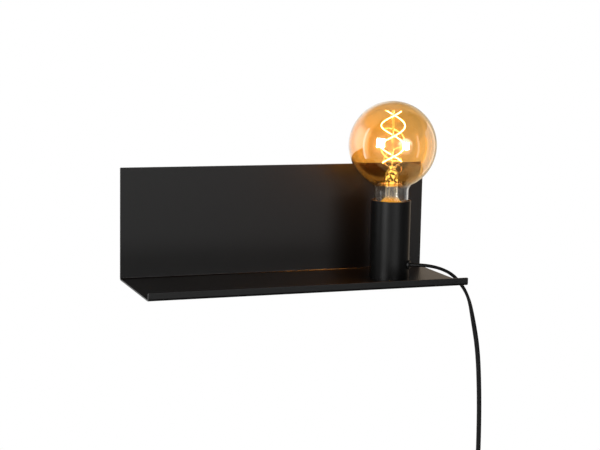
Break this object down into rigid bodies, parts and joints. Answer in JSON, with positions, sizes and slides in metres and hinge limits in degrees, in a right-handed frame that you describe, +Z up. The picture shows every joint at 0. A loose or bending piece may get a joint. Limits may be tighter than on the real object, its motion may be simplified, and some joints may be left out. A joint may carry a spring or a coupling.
{
  "type": "plug-in wall lamp",
  "caption": "Black folded-sheet wall lamp with a small shelf, a tube lampholder, a screw-in amber globe bulb and a switched flat cord with a plug.",
  "frame": {"origin": "midway between the two wall holes of the wall bar, on the face of the wall", "axes": "+X along the wall to the viewer's right, +Y into the wall, +Z up"},
  "size_m": [0.4019, 0.1285, 0.6244],
  "materials": {
    "black_coat": "matt powder coat",
    "bare_steel": "zinc plated",
    "black_rubber": "matt",
    "porcelain": "glazed",
    "brass": "stamped strip",
    "solder": "dull",
    "black_glass": "glossy",
    "nickel_cap": "nickel plated",
    "circuit_board": "potted",
    "amber_glass": "amber tint",
    "clear_glass": "clear",
    "filament_glow": "phosphor coated, lit",
    "lead_wire": "drawn wire",
    "black_plastic": "moulded",
    "cord_jacket": "smooth sheath",
    "core_brown": "core insulation",
    "core_blue": "core insulation",
    "plug_metal": "nickel plated brass"
  },
  "bodies": {
    "lamp": {"wall_bar": "bare_steel", "hanger_rail": "black_coat", "wall_bumpers": "black_rubber", "folded_shelf": "black_coat", "lamp_sleeve": "black_coat", "sleeve_base": "bare_steel", "holder_bracket": "bare_steel", "fixing_washer": "bare_steel", "fixing_screw": "bare_steel", "fixing_nut": "bare_steel", "holder_body": "porcelain", "holder_screws": "bare_steel", "centre_contact": "brass", "side_contact": "brass", "wire_terminals": "brass", "screw_shell": "brass", "cord_bush": "black_plastic", "cord_inner": "cord_jacket", "live_core": "core_brown", "neutral_core": "core_blue", "cord_run": "cord_jacket", "switch_base": "black_plastic", "switch_cover": "black_plastic", "rocker_pin": "bare_steel", "switch_contacts": "brass", "switch_screws": "bare_steel", "cord_coil": "cord_jacket", "cord_tie": "black_rubber", "plug_body": "black_plastic", "plug_relief": "black_rubber", "plug_pins": "plug_metal", "pin_sleeves": "black_plastic"},
    "bulb_base": {"bulb_tip": "solder", "bulb_insulator": "black_glass"},
    "bulb": {"bulb_cap": "nickel_cap", "bulb_globe": "amber_glass", "bulb_stem": "clear_glass", "glass_rod": "clear_glass", "filament_a": "filament_glow", "filament_b": "filament_glow", "filament_frame": "lead_wire", "bulb_driver": "circuit_board"},
    "rocker": {"switch_rocker": "black_plastic"}
  },
  "joints": [
    {"name": "bulb_lift", "type": "slide", "parent": "lamp", "child": "bulb_base", "axis": [0, 0, 1], "range_m": [0, 0.02177]},
    {"name": "bulb_turn", "type": "hinge", "parent": "bulb_base", "child": "bulb", "pos_m": [0.11, -0.06725, 0], "axis": [0, 0, 1], "range_deg": [0, 2160]},
    {"name": "rocker_tilt", "type": "hinge", "parent": "lamp", "child": "rocker", "pos_m": [0.2139, -0.096, -0.335], "axis": [-1, 0, 0], "range_deg": [0, 16]}
  ],
  "couplings": [
    {"joint": "bulb_lift", "follows": "bulb_turn", "m_per_rad": 0.0005775}
  ]
}
